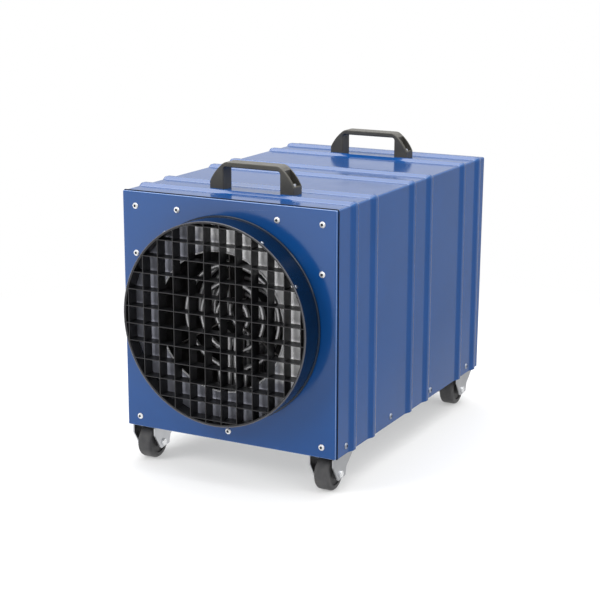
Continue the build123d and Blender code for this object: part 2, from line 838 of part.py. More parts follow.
with BuildPart() as overheat_switch:
    with BuildSketch(level(axis_z)):
        with Locations((0, depth(overheat_place))):
            Rectangle(overheat_plate, overheat_plate)
    extrude(amount=duct_radius + rail_sheet)
    with BuildSketch(level(axis_z + duct_radius)):
        with Locations((0, depth(overheat_place))):
            Circle(overheat_radius)
    extrude(amount=overheat_height)
    fillet(overheat_switch.edges().group_by(Axis.Z)[-1], 2 * sheet)
    with Locations(Location((0, depth(overheat_place), axis_z), (90, 0, 0))):
        Cylinder(duct_radius + seat_gap, 2 * overheat_plate, mode=Mode.SUBTRACT)
save(overheat_switch.part, "overheat_switch")

# ---------------------------------------------------------------- fan
with BuildPart() as fan_blade:
    for radius, chord, angle in (
        (hub_radius - 5, blade_root_chord, blade_root_angle),
        (fan_radius + 5, blade_tip_chord, blade_tip_angle),
    ):
        slant = (0, sin(radians(angle)), cos(radians(angle)))
        with BuildSketch(Plane(origin=(radius, 0, 0), x_dir=slant, z_dir=(1, 0, 0))):
            Rectangle(chord, blade_sheet)
    loft(ruled=True)
    Cylinder(fan_radius, 3 * hub_length, rotation=(90, 0, 0), mode=Mode.INTERSECT)

with BuildPart() as fan_rotor:
    fan_centre = (0, depth(fan_place), axis_z)
    with Locations(Location(fan_centre, (90, 0, 0))):
        Cylinder(hub_radius, hub_length)
    fillet(fan_rotor.edges().group_by(Axis.Y)[0], hub_rounding)
    with Locations([Location(fan_centre, (0, 360 * i / blade_count, 0)) for i in range(blade_count)]):
        add(fan_blade.part)
    with BuildSketch(across(fan_place)):
        with Locations((0, axis_z)):
            Circle(shaft_radius)
    extrude(amount=-(motor_front - fan_place + shaft_seat))
save(fan_rotor.part, "fan_rotor")

with BuildPart() as fan_motor:
    with BuildSketch(across(motor_front)):
        with Locations((0, axis_z)):
            Circle(motor_radius)
    extrude(amount=-motor_length)
    fillet(fan_motor.edges().filter_by(GeomType.CIRCLE), motor_rounding)
    with BuildSketch(across(motor_front)):
        with Locations((0, axis_z)):
            Circle(motor_boss_radius)
    extrude(amount=motor_boss)
    with BuildSketch(across(motor_front - motor_boss - 1)):
        with Locations((0, axis_z)):
            Circle(shaft_radius + running_gap)
    extrude(amount=-(motor_boss + shaft_seat + 3), mode=Mode.SUBTRACT)
save(fan_motor.part, "fan_motor")

with BuildPart() as motor_mount:
    with BuildSketch(across(motor_front + mount_setback)):
        with Locations((0, axis_z)):
            with PolarLocations((motor_radius + duct_bore) / 2, mount_arms, start_angle=45):
                Rectangle(duct_bore - motor_radius + 4, arm_sheet)
            Circle(duct_bore - seat_gap, mode=Mode.INTERSECT)
            add(ring(motor_radius + mount_band, motor_radius - mount_band))
            Circle(motor_radius + seat_gap, mode=Mode.SUBTRACT)
    extrude(amount=-mount_width)
save(motor_mount.part, "motor_mount")

# ---------------------------------------------------------------- electrics inside
with BuildPart() as mounting_rail:
    with BuildSketch(across(mounting_rail_place - mounting_rail_length / 2)):
        lift = pan_top + mounting_rail_height - mounting_rail_sheet
        with Locations((electrics_x, pan_top)):
            Rectangle(mounting_rail_web, mounting_rail_sheet, align=(Align.CENTER, Align.MIN))
        for side in (-1, 1):
            web_x = electrics_x + side * (mounting_rail_web - mounting_rail_sheet) / 2
            flange_x = electrics_x + side * (mounting_rail_width + mounting_rail_web - 2 * mounting_rail_sheet) / 4
            with Locations((web_x, pan_top)):
                Rectangle(mounting_rail_sheet, mounting_rail_height, align=(Align.CENTER, Align.MIN))
            with Locations((flange_x, lift)):
                Rectangle(
                    (mounting_rail_width - mounting_rail_web) / 2 + mounting_rail_sheet,
                    mounting_rail_sheet,
                    align=(Align.CENTER, Align.MIN),
                )
    extrude(amount=-mounting_rail_length)
save(mounting_rail.part, "mounting_rail")

electrics_floor = pan_top + mounting_rail_height
with BuildPart() as contactor:
    with Locations((electrics_x, depth(mounting_rail_place - electrics_spread), electrics_floor)):
        Box(
            contactor_width,
            contactor_length,
            contactor_height - contactor_step,
            align=(Align.CENTER, Align.CENTER, Align.MIN),
        )
        Box(
            contactor_top_width,
            contactor_length,
            contactor_height,
            align=(Align.CENTER, Align.CENTER, Align.MIN),
        )
save(contactor.part, "contactor")

with BuildPart() as terminal_block:
    with Locations((electrics_x, depth(mounting_rail_place + electrics_spread), electrics_floor)):
        Box(terminal_width, terminal_length, terminal_height, align=(Align.CENTER, Align.CENTER, Align.MIN))
        with Locations((0, 0, terminal_height)):
            with GridLocations(0, terminal_length / terminal_poles, 1, terminal_poles):
                Box(
                    terminal_width + 2,
                    terminal_slot_width,
                    2 * terminal_slot,
                    mode=Mode.SUBTRACT,
                )
save(terminal_block.part, "terminal_block")

# ---------------------------------------------------------------- controls in the rear panel
panel_inside = rear_face - sheet
for name, side, size, length in (
    ("selector_switch", 1, switch_size, switch_depth),
    ("thermostat", -1, thermostat_size, thermostat_depth),
):
    with BuildPart() as switch_body:
        with BuildSketch(across(panel_inside - length)):
            with Locations((side * knob_x, knob_z)):
                Rectangle(size, size)
        extrude(amount=-length)
        with BuildSketch(across(panel_inside - spindle_length)):
            with Locations((side * knob_x, knob_z)):
                Circle(spindle_radius + running_gap)
        extrude(amount=-(spindle_length + 1), mode=Mode.SUBTRACT)
    save(switch_body.part, name)

for name, side in (("selector_knob", 1), ("thermostat_knob", -1)):
    with BuildPart() as knob:
        knob_foot = rear_face + seat_gap
        with BuildSketch(across(knob_foot)):
            with Locations((side * knob_x, knob_z)):
                Circle(knob_radius)
        extrude(amount=-knob_disc)
        with BuildSketch(across(knob_foot)):
            with Locations((side * knob_x, knob_z)):
                Rectangle(knob_grip, 2 * knob_radius - knob_grip)
                with GridLocations(0, 2 * knob_radius - knob_grip, 1, 2):
                    Circle(knob_grip / 2)
        extrude(amount=-knob_height)
        fillet(knob.edges().group_by(Axis.Y)[-1], knob_edge)
        with BuildSketch(across(knob_foot)):
            with Locations((side * knob_x, knob_z)):
                Circle(spindle_radius)
        extrude(amount=spindle_length)
    save(knob.part, name)

for name, x in zip(lamp_names, lamp_x):
    with BuildPart() as lamp:
        with BuildSketch(across(rear_face)):
            with Locations((x, small_row_z)):
                Circle(lamp_radius)
        extrude(amount=-lamp_rise)
        fillet(lamp.edges().group_by(Axis.Y)[-1], lamp_edge)
        with BuildSketch(across(rear_face)):
            with Locations((x, small_row_z)):
                Circle(lamp_body_radius)
        extrude(amount=lamp_body_length)
    save(lamp.part, name)

with BuildPart() as limit_thermostat:
    with BuildSketch(across(panel_inside - limit_depth)):
        with Locations((reset_x, small_row_z)):
            Rectangle(limit_size, limit_size)
    extrude(amount=-limit_depth)
    with BuildSketch(across(panel_inside)):
        with Locations((reset_x, small_row_z)):
            Circle(reset_bush_radius)
    extrude(amount=-(sheet + reset_bush_height))
    bush_end = rear_face + reset_bush_height
    with BuildSketch(across(bush_end + 1)):
        with Locations((reset_x, small_row_z)):
            Circle(reset_radius + running_gap)
    extrude(amount=reset_length + reset_travel + 2, mode=Mode.SUBTRACT)
save(limit_thermostat.part, "limit_thermostat")

with BuildPart() as reset_button:
    with BuildSketch(across(bush_end + reset_rise)):
        with Locations((reset_x, small_row_z)):
            Circle(reset_radius)
    extrude(amount=reset_length)
    fillet(reset_button.edges().group_by(Axis.Y)[-1], sheet / 2)
save(reset_button.part, "reset_button")

with BuildPart() as mains_inlet:
    with BuildSketch(across(rear_face + inlet_reach)):
        with Locations((inlet_x, inlet_z)):
            add(ring(inlet_radius, inlet_radius - inlet_wall))
    extrude(amount=inlet_reach + inlet_back)
    with BuildSketch(across(rear_face - inlet_back)):
        with Locations((inlet_x, inlet_z)):
            Circle(inlet_radius)
    extrude(amount=-inlet_floor)
    with BuildSketch(across(rear_face)):
        with Locations((inlet_x, inlet_z)):
            add(ring(inlet_flange_radius, inlet_radius - inlet_wall))
    extrude(amount=-inlet_flange)
save(mains_inlet.part, "mains_inlet")

with BuildPart() as inlet_pins:
    with BuildSketch(across(rear_face - inlet_back + inlet_floor)):
        with Locations((inlet_x, inlet_z)):
            with PolarLocations(inlet_pin_circle, inlet_pin_count, start_angle=90):
                Circle(inlet_pin_radius)
    extrude(amount=-inlet_pin_length)
    fillet(inlet_pins.edges().group_by(Axis.Y)[-1], inlet_pin_radius / 3)
save(inlet_pins.part, "inlet_pins")

# ---------------------------------------------------------------- handles
for name, place in (("front_handle", front_handle_place), ("rear_handle", rear_handle_place)):
    with BuildPart() as handle:
        foot = (handle_span / 2, top + handle_foot_height)
        knee = (handle_span / 2 - handle_knee_inset, top + handle_height - handle_knee_drop)
        flat_end = (handle_span / 2 - handle_flat_inset, top + handle_height)
        with BuildSketch(across(place - handle_depth / 2)):
            with BuildLine():
                Polyline((0, top), (handle_span / 2, top), foot)
                SagittaArc(foot, knee, -handle_slope_bulge)
                SagittaArc(knee, flat_end, -handle_knee_bulge)
                Line(flat_end, (0, top + handle_height))
                mirror(about=Plane.YZ)
            make_face()
            with Locations((0, top)):
                RectangleRounded(
                    handle_opening,
                    2 * (handle_height - handle_bar),
                    handle_corner,
                    mode=Mode.SUBTRACT,
                )
        extrude(amount=-handle_depth)
        faces_edges = handle.edges().group_by(Axis.Y)
        fillet(
            [edge for edge in faces_edges[0] + faces_edges[-1] if edge.center().Z > top + 0.1],
            handle_edge,
        )
        pocket_start = handle_opening / 2 + handle_wall
        for side in (-1, 1):
            with Locations((side * (pocket_start + handle_span) / 2, depth(place), top + handle_foot_block)):
                Box(
                    handle_span - pocket_start,
                    handle_depth - 2 * handle_cheek,
                    handle_pocket_top - handle_foot_block,
                    align=(Align.CENTER, Align.CENTER, Align.MIN),
                    mode=Mode.SUBTRACT,
                )
        with Locations([(side * handle_screw_x, depth(place), top) for side in (-1, 1)]):
            Cylinder(handle_screw_radius + seat_gap, 4 * handle_foot_block, mode=Mode.SUBTRACT)
    save(handle.part, name)

# ---------------------------------------------------------------- castors
for corner, (x, y) in castors.items():
    swivel = (x, depth(y + castor_trail))
    race_foot = crown_top + castor_play
    with BuildPart() as castor_plate:
        with BuildSketch(level(pan_under)):
            with Locations(swivel):
                Rectangle(castor_plate_width, castor_plate_length)
                with GridLocations(
                    castor_plate_width - 2 * castor_bolt_inset,
                    castor_plate_length - 2 * castor_bolt_inset,
                    2,
                    2,
                ):
                    Circle(castor_bolt_radius + seat_gap, mode=Mode.SUBTRACT)
        extrude(amount=-castor_plate_sheet)
        with BuildSketch(level(pan_under - castor_plate_sheet)):
            with Locations(swivel):
                Circle(race_radius)
        extrude(amount=-(pan_under - castor_plate_sheet - race_foot))
        recess_top = fork_top - fork_sheet + crown_recess
        with BuildSketch(level(race_foot)):
            with Locations(swivel):
                Circle(kingpin_radius)
        extrude(amount=-(race_foot - recess_top + castor_play))
        with BuildSketch(level(recess_top - castor_play)):
            with Locations(swivel):
                Circle(kingpin_head_radius)
        extrude(amount=-kingpin_head)
    save(castor_plate.part, f"castor_plate_{corner}")

    with BuildPart() as castor_fork:
        with BuildSketch(Plane.YZ.offset(x - fork_width / 2)) as leg_outline:
            Polygon(
                *[(depth(y + from_axle), height) for from_axle, height in fork_corners],
                align=None,
            )
            fillet(leg_outline.vertices().group_by(Axis.Y)[0], fork_sheet * 2)
        extrude(amount=fork_width)
        with Locations((x, depth(y + (fork_rear - fork_front) / 2), 0)):
            Box(
                fork_width - 2 * fork_sheet,
                fork_front + fork_rear + 2,
                fork_top - fork_sheet,
                align=(Align.CENTER, Align.CENTER, Align.MIN),
                mode=Mode.SUBTRACT,
            )
        with Locations((x, depth(y + fork_bridge_front), fork_top - fork_sheet)):
            Box(
                fork_width - 2 * fork_sheet,
                fork_front + fork_rear,
                2 * fork_sheet,
                align=(Align.CENTER, Align.MAX, Align.CENTER),
                mode=Mode.SUBTRACT,
            )
        with BuildSketch(level(fork_top)):
            with Locations(swivel):
                Circle(crown_radius)
        extrude(amount=crown_top - fork_top)
        fillet(castor_fork.edges().group_by(Axis.Z)[-1], fork_sheet)
        with BuildSketch(level(fork_top - fork_sheet - 1)):
            with Locations(swivel):
                Circle(kingpin_radius + running_gap)
        extrude(amount=crown_top - fork_top + fork_sheet + 2, mode=Mode.SUBTRACT)
        with BuildSketch(level(fork_top - fork_sheet - 1)):
            with Locations(swivel):
                Circle(crown_recess_radius)
        extrude(amount=crown_recess + 1, mode=Mode.SUBTRACT)
        with Locations(Location((x, depth(y), wheel_radius), (0, 90, 0))):
            Cylinder(axle_radius + running_gap, 2 * fork_width, mode=Mode.SUBTRACT)
    save(castor_fork.part, f"castor_fork_{corner}")

    with BuildPart() as castor_wheel:
        with Locations(Location((x, depth(y), wheel_radius), (0, 90, 0))):
            Cylinder(wheel_radius, wheel_width)
            fillet(castor_wheel.edges().filter_by(GeomType.CIRCLE), tyre_shoulder)
            for side in (-1, 1):
                with Locations((0, 0, side * wheel_width / 2)):
                    Cylinder(wheel_recess_radius, 2 * wheel_recess, mode=Mode.SUBTRACT)
            Cylinder(hub_outer_radius, fork_width - 2 * fork_sheet - 2 * hub_play)
            Cylinder(axle_radius + running_gap, fork_width, mode=Mode.SUBTRACT)
    save(castor_wheel.part, f"castor_wheel_{corner}")

    with BuildPart() as castor_axle:
        with Locations(Location((x, depth(y), wheel_radius), (0, 90, 0))):
            Cylinder(axle_radius, fork_width)
            for side in (-1, 1):
                with Locations((0, 0, side * (fork_width + axle_head) / 2)):
                    Cylinder(axle_head_radius, axle_head)
        fillet(
            castor_axle.edges().group_by(Axis.X)[0] + castor_axle.edges().group_by(Axis.X)[-1],
            axle_head / 3,
        )
    save(castor_axle.part, f"castor_axle_{corner}")

# ---------------------------------------------------------------- screws and bolts
with BuildPart() as panel_screw:
    Cylinder(screw_head_radius, screw_head_height, align=(Align.CENTER, Align.CENTER, Align.MIN))
    fillet(panel_screw.edges().group_by(Axis.Z)[-1], screw_head_height * 0.8)
    with Locations((0, 0, screw_head_height)):
        Box(screw_head_radius, screw_recess_width, 2 * screw_recess, mode=Mode.SUBTRACT)
        Box(screw_recess_width, screw_head_radius, 2 * screw_recess, mode=Mode.SUBTRACT)

with BuildPart() as front_panel_screws:
    with Locations([Location((x, depth(0), z), (90, 0, 0)) for x, z in front_screw_places]):
        add(panel_screw.part)
        Cylinder(screw_radius, screw_length, align=(Align.CENTER, Align.CENTER, Align.MAX))
save(front_panel_screws.part, "front_panel_screws")

with BuildPart() as side_screws:
    with Locations(
        [
            Location((side * half, depth(y), lip + side_screw_height), (0, side * 90, 0))
            for side in (-1, 1)
            for y in side_screw_depths
        ]
    ):
        add(panel_screw.part)
        Cylinder(screw_radius, side_screw_length, align=(Align.CENTER, Align.CENTER, Align.MAX))
save(side_screws.part, "side_screws")

with BuildPart() as rear_panel_screws:
    heads = [(x, rear_face, z) for x, z in rear_screw_places]
    heads += [(x, rear_face + guard_sheet, z) for x, z in guard_screw_places]
    with Locations([Location((x, depth(y), z), (-90, 0, 0)) for x, y, z in heads]):
        add(panel_screw.part)
        Cylinder(screw_radius, side_screw_length, align=(Align.CENTER, Align.CENTER, Align.MAX))
save(rear_panel_screws.part, "rear_panel_screws")

with BuildPart() as collar_screws:
    with Locations(
        [
            Location((0, depth(collar_screw_setback - collar_reach), axis_z), (0, 90 - angle, 0))
            for angle in collar_screw_angles
        ]
    ):
        with Locations((0, 0, collar_radius - collar_screw_sink)):
            Cylinder(collar_screw_head, collar_screw_height, align=(Align.CENTER, Align.CENTER, Align.MIN))
            Cylinder(collar_screw_radius, collar_screw_length, align=(Align.CENTER, Align.CENTER, Align.MAX))
save(collar_screws.part, "collar_screws")

with BuildPart() as handle_screws:
    with Locations([(x, depth(y), top + handle_foot_block) for x, y in handle_screw_places]):
        Cylinder(handle_screw_head, handle_screw_rise, align=(Align.CENTER, Align.CENTER, Align.MIN))
        Cylinder(handle_screw_radius, handle_screw_length, align=(Align.CENTER, Align.CENTER, Align.MAX))
save(handle_screws.part, "handle_screws")

with BuildPart() as castor_bolts:
    bolt_places = [(x, depth(y)) for x, y in castor_bolt_places]
    bolt_foot = pan_under - castor_plate_sheet
    with BuildSketch(level(bolt_foot)):
        with Locations(bolt_places):
            RegularPolygon(castor_bolt_head, 6)
    extrude(amount=-castor_bolt_rise)
    with BuildSketch(level(bolt_foot)):
        with Locations(bolt_places):
            Circle(castor_bolt_radius)
    extrude(amount=pan_top + castor_bolt_end - bolt_foot)
    with BuildSketch(level(pan_top)):
        with Locations(bolt_places):
            RegularPolygon(castor_bolt_head, 6)
    extrude(amount=castor_nut)
save(castor_bolts.part, "castor_bolts")
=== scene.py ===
import math
import bpy
import numpy as np
from mathutils import Matrix, Vector


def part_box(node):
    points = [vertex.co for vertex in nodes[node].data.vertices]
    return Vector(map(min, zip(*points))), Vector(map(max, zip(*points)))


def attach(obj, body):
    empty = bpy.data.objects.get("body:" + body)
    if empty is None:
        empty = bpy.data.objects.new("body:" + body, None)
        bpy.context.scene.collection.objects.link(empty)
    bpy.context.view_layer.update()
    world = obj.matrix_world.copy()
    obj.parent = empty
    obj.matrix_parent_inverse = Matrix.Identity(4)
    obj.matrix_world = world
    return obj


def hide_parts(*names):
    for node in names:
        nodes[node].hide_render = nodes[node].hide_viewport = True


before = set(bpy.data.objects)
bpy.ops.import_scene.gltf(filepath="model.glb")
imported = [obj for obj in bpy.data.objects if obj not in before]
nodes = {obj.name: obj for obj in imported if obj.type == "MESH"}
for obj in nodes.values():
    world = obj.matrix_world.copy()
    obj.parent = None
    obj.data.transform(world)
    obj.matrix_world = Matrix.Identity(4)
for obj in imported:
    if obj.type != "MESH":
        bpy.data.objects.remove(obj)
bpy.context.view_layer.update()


# Camera
# A long lens in front of the machine, to its right and a little above its top, so that the front, the
# right wall and the top show together.
viewpoint = (1.2804, -2.4660, 0.9393)
azimuth, elevation, roll = 27.758, 13.925, 0.082
camera = bpy.data.objects.new("camera", bpy.data.cameras.new("camera"))
bpy.context.collection.objects.link(camera)
camera.data.lens = 92.86
camera.data.sensor_width = 36
camera.matrix_world = (
    Matrix.Translation(viewpoint)
    @ Matrix.Rotation(math.radians(azimuth), 4, "Z")
    @ Matrix.Rotation(math.radians(90 - elevation), 4, "X")
    @ Matrix.Rotation(math.radians(roll), 4, "Z")
)
bpy.context.scene.camera = camera
bpy.context.scene.view_settings.view_transform = "Standard"


# Studio
# White paper floor that fades into pure white away from the machine, a pale sky, one large soft lamp
# overhead, one at the front left, one at the right and a small one beside the camera.
def surface(name, points, faces, smooth=True):
    """Object at the origin whose mesh has these points, an N by 3 array, and these faces."""
    mesh = bpy.data.meshes.new(name)
    corners_of_faces = [[int(corner) for corner in face] for face in faces]
    mesh.from_pydata(np.asarray(points, float).tolist(), [], corners_of_faces)
    mesh.update()
    if smooth:
        mesh.shade_smooth()
    piece = bpy.data.objects.new(name, mesh)
    bpy.context.collection.objects.link(piece)
    return piece


# Seen directly, the floor is paper near the machine and turns to pure white from fade_start to fade_end
# metres away. Mirrored in the machine it is white, brighter at the left and far away.
floor_reach = 30.0
corners = [(-1, -1), (1, -1), (1, 1), (-1, 1)]
floor = surface("floor", [(floor_reach * x, floor_reach * y, 0) for x, y in corners], [(0, 1, 2, 3)])
floor_finish = bpy.data.materials.new("studio_floor")
floor_finish.use_nodes = True
tree = floor_finish.node_tree
paper = tree.nodes["Principled BSDF"]
paper.inputs["Base Color"].default_value = (0.9, 0.9, 0.9, 1)
paper.inputs["Roughness"].default_value = 0.9
paper.inputs["Specular IOR Level"].default_value = 0.1
glow = tree.nodes.new("ShaderNodeEmission")
place = tree.nodes.new("ShaderNodeTexCoord")
distance = tree.nodes.new("ShaderNodeVectorMath")
distance.operation = "LENGTH"
tree.links.new(place.outputs["Object"], distance.inputs[0])
fade = tree.nodes.new("ShaderNodeMapRange")
fade.interpolation_type = "SMOOTHSTEP"
fade_start, fade_end, least_glow = 0.5, 1.3, 0.35
fade.inputs["From Min"].default_value = fade_start
fade.inputs["From Max"].default_value = fade_end
fade.inputs["To Min"].default_value = least_glow
tree.links.new(distance.outputs["Value"], fade.inputs["Value"])
path = tree.nodes.new("ShaderNodeLightPath")
seen = tree.nodes.new("ShaderNodeMath")
seen.operation = "ADD"
tree.links.new(path.outputs["Is Camera Ray"], seen.inputs[0])
tree.links.new(path.outputs["Is Transmission Ray"], seen.inputs[1])
faded = tree.nodes.new("ShaderNodeMath")
faded.operation = "MULTIPLY"
tree.links.new(seen.outputs[0], faded.inputs[0])
tree.links.new(fade.outputs["Result"], faded.inputs[1])
share = tree.nodes.new("ShaderNodeMath")
share.operation = "ADD"
share.use_clamp = True
tree.links.new(faded.outputs[0], share.inputs[0])
tree.links.new(path.outputs["Is Glossy Ray"], share.inputs[1])
across = tree.nodes.new("ShaderNodeSeparateXYZ")
tree.links.new(place.outputs["Object"], across.inputs[0])
falloff = tree.nodes.new("ShaderNodeMapRange")
falloff.inputs["From Min"].default_value = -0.8
falloff.inputs["From Max"].default_value = 0.5
falloff.inputs["To Min"].default_value = 1.6
falloff.inputs["To Max"].default_value = 0.5
tree.links.new(across.outputs["X"], falloff.inputs["Value"])
nearness = tree.nodes.new("ShaderNodeMapRange")
nearness.inputs["From Min"].default_value = 0.55
nearness.inputs["From Max"].default_value = 1.7
nearness.inputs["To Min"].default_value = 1.0
nearness.inputs["To Max"].default_value = 1.1
tree.links.new(distance.outputs["Value"], nearness.inputs["Value"])
mirrored = tree.nodes.new("ShaderNodeMath")
mirrored.operation = "MULTIPLY"
tree.links.new(falloff.outputs["Result"], mirrored.inputs[0])
tree.links.new(nearness.outputs["Result"], mirrored.inputs[1])
level = tree.nodes.new("ShaderNodeMix")
level.inputs["A"].default_value = 1.0
tree.links.new(path.outputs["Is Glossy Ray"], level.inputs["Factor"])
tree.links.new(mirrored.outputs[0], level.inputs["B"])
tree.links.new(level.outputs["Result"], glow.inputs["Strength"])
blend = tree.nodes.new("ShaderNodeMixShader")
tree.links.new(share.outputs[0], blend.inputs[0])
tree.links.new(paper.outputs[0], blend.inputs[1])
tree.links.new(glow.outputs[0], blend.inputs[2])
tree.links.new(blend.outputs[0], tree.nodes["Material Output"].inputs["Surface"])
floor.data.materials.append(floor_finish)

sky = bpy.data.worlds.new("studio")
bpy.context.scene.world = sky
sky.use_nodes = True
links = sky.node_tree.links
shade = sky.node_tree.nodes["Background"]
shade.inputs["Color"].default_value = (1, 1, 1, 1)
shade.inputs["Strength"].default_value = 0.4
bright = sky.node_tree.nodes.new("ShaderNodeBackground")
bright.inputs["Color"].default_value = (1, 1, 1, 1)
path = sky.node_tree.nodes.new("ShaderNodeLightPath")
mirrored = sky.node_tree.nodes.new("ShaderNodeMapRange")
mirrored.inputs["To Min"].default_value = 1.0
mirrored.inputs["To Max"].default_value = 0.8
links.new(path.outputs["Is Glossy Ray"], mirrored.inputs["Value"])
links.new(mirrored.outputs["Result"], bright.inputs["Strength"])
seen = sky.node_tree.nodes.new("ShaderNodeMath")
seen.operation = "MAXIMUM"
links.new(path.outputs["Is Camera Ray"], seen.inputs[0])
links.new(path.outputs["Is Glossy Ray"], seen.inputs[1])
clear = sky.node_tree.nodes.new("ShaderNodeMath")
clear.operation = "MAXIMUM"
links.new(seen.outputs[0], clear.inputs[0])
links.new(path.outputs["Is Transmission Ray"], clear.inputs[1])
mix = sky.node_tree.nodes.new("ShaderNodeMixShader")
links.new(clear.outputs[0], mix.inputs[0])
links.new(shade.outputs[0], mix.inputs[1])
links.new(bright.outputs[0], mix.inputs[2])
links.new(mix.outputs[0], sky.node_tree.nodes["World Output"].inputs["Surface"])

aim = (0, 0, 0.25)
for name, place, size, power in (
    ("overhead_lamp", (-0.2, 0.6, 2.6), (3.4, 3.8), 115),
    ("left_lamp", (-2.1, -2.7, 2.3), (1.8, 1.8), 80),
    ("right_lamp", (2.7, -0.6, 2.3), (2.2, 2.2), 32),
    ("camera_lamp", (1.3, -2.7, 2.1), (0.8, 0.8), 12),
):
    lamp = bpy.data.objects.new(name, bpy.data.lights.new(name, "AREA"))
    bpy.context.collection.objects.link(lamp)
    lamp.data.shape = "RECTANGLE"
    lamp.data.size, lamp.data.size_y = size
    lamp.data.energy = power
    lamp.location = place
    sight = Vector(aim) - Vector(place)
    lamp.rotation_euler = sight.to_track_quat("-Z", "Y").to_euler()
    lamp.visible_glossy = name != "left_lamp"


# Casing: outer_shell, front_panel and rear_panel
# Folded sheet steel under a glossy blue powder coat. The coat has the faint waviness of orange peel and
# small changes of tone from sheet to sheet.
def new_finish(name, colour, metallic, roughness):
    """Material with one Principled shader; returns it with its nodes, links and shader."""
    material = bpy.data.materials.new(name)
    material.use_nodes = True
    tree = material.node_tree
    shader = tree.nodes["Principled BSDF"]
    shader.inputs["Base Color"].default_value = (*colour, 1)
    shader.inputs["Metallic"].default_value = metallic
    shader.inputs["Roughness"].default_value = roughness
    return material, tree, shader


def cloud(tree, scale, detail=3.0):
    """Noise on the piece's own coordinates, in waves of about 1/scale metres."""
    place = tree.nodes.new("ShaderNodeTexCoord")
    noise = tree.nodes.new("ShaderNodeTexNoise")
    noise.inputs["Scale"].default_value = scale
    noise.inputs["Detail"].default_value = detail
    tree.links.new(place.outputs["Object"], noise.inputs["Vector"])
    return noise.outputs["Fac"]


def spread(tree, value, low, high, first=0.3, last=0.7):
    """The value stretched from first..last to low..high."""
    stretch = tree.nodes.new("ShaderNodeMapRange")
    stretch.inputs["From Min"].default_value = first
    stretch.inputs["From Max"].default_value = last
    stretch.inputs["To Min"].default_value = low
    stretch.inputs["To Max"].default_value = high
    tree.links.new(value, stretch.inputs["Value"])
    return stretch.outputs["Result"]


def tones(tree, shader, value, dark, light, first=0.3, last=0.7):
    """Base colour that runs from dark to light with the value."""
    ramp = tree.nodes.new("ShaderNodeValToRGB")
    ramp.color_ramp.elements[0].position = first
    ramp.color_ramp.elements[0].color = (*dark, 1)
    ramp.color_ramp.elements[1].position = last
    ramp.color_ramp.elements[1].color = (*light, 1)
    tree.links.new(value, ramp.inputs["Fac"])
    tree.links.new(ramp.outputs["Color"], shader.inputs["Base Color"])
    return ramp


def relief(tree, shader, value, depth, strength=1.0):
    """Bump of that depth in metres from the value."""
    bump = tree.nodes.new("ShaderNodeBump")
    bump.inputs["Distance"].default_value = depth
    bump.inputs["Strength"].default_value = strength
    tree.links.new(value, bump.inputs["Height"])
    tree.links.new(bump.outputs["Normal"], shader.inputs["Normal"])


def wear(material, *names):
    """Give the named CAD pieces this material."""
    for name in names:
        mesh = nodes[name].data
        mesh.materials.clear()
        mesh.materials.append(material)


def bend_wear_and_highlight(tree, shader, colour, share):
    """Lighter colour where the surface faces between the three axes: partly wear, as on the rubbed bends of a
    box, and partly a painted highlight of the light the bends catch.
    """
    facing = tree.nodes.new("ShaderNodeNewGeometry")
    size = tree.nodes.new("ShaderNodeVectorMath")
    size.operation = "ABSOLUTE"
    tree.links.new(facing.outputs["Normal"], size.inputs[0])
    parts = tree.nodes.new("ShaderNodeSeparateXYZ")
    tree.links.new(size.outputs["Vector"], parts.inputs[0])
    largest = tree.nodes.new("ShaderNodeMath")
    largest.operation = "MAXIMUM"
    tree.links.new(parts.outputs["X"], largest.inputs[0])
    tree.links.new(parts.outputs["Y"], largest.inputs[1])
    most = tree.nodes.new("ShaderNodeMath")
    most.operation = "MAXIMUM"
    tree.links.new(largest.outputs[0], most.inputs[0])
    tree.links.new(parts.outputs["Z"], most.inputs[1])
    mixed = tree.nodes.new("ShaderNodeMix")
    mixed.data_type = "RGBA"
    base = shader.inputs["Base Color"].links[0].from_socket
    tree.links.new(spread(tree, most.outputs[0], share, 0.0, 0.72, 0.9), mixed.inputs[0])
    tree.links.new(base, mixed.inputs[6])
    mixed.inputs[7].default_value = (*colour, 1)
    tree.links.new(mixed.outputs[2], shader.inputs["Base Color"])


# The lighter bends are partly paint rubbed thin and partly a painted highlight of the light that the rounded
# bends and bead crests catch; the front panel's edges get a strong painted highlight.
for name, bend_wear_and_highlight_share, wear_and_highlight, pieces in (
    ("casing_blue", 0.3, (0.06, 0.20, 0.50), ["outer_shell", "rear_panel"]),
    ("panel_blue", 0.85, (0.30, 0.42, 0.68), ["front_panel"]),
):
    paint, tree, shader = new_finish(name, (0.003, 0.055, 0.215), 0, 0.14)
    tones(tree, shader, cloud(tree, 9), (0.0025, 0.053, 0.205), (0.003, 0.058, 0.225))
    tree.links.new(spread(tree, cloud(tree, 30), 0.12, 0.17), shader.inputs["Roughness"])
    relief(tree, shader, cloud(tree, 260, 2), 0.00004)
    bend_wear_and_highlight(tree, shader, wear_and_highlight, bend_wear_and_highlight_share)
    wear(paint, *pieces)

# Painted shade in the front panel's joint
# A thin matt black strip laid into the open joint between the front panel's folded edge and the
# shell, on both sides and over the top: painted shade standing in for the shadow down in the gap.
def swept(path, normals, profile, along):
    """Surface of a profile (out, along) carried along a path: each path point plus out times its normal
    plus along times the fixed direction."""
    out, run = np.asarray(profile, float).T
    points = (
        path[:, None] + out[None, :, None] * normals[:, None] + run[None, :, None] * np.asarray(along, float)
    )
    rows, columns = points.shape[:2]
    grid = np.arange(rows * columns).reshape(rows, columns)
    faces = np.stack([grid[:-1, :-1], grid[1:, :-1], grid[1:, 1:], grid[:-1, 1:]], -1).reshape(-1, 4)
    return points.reshape(-1, 3), faces


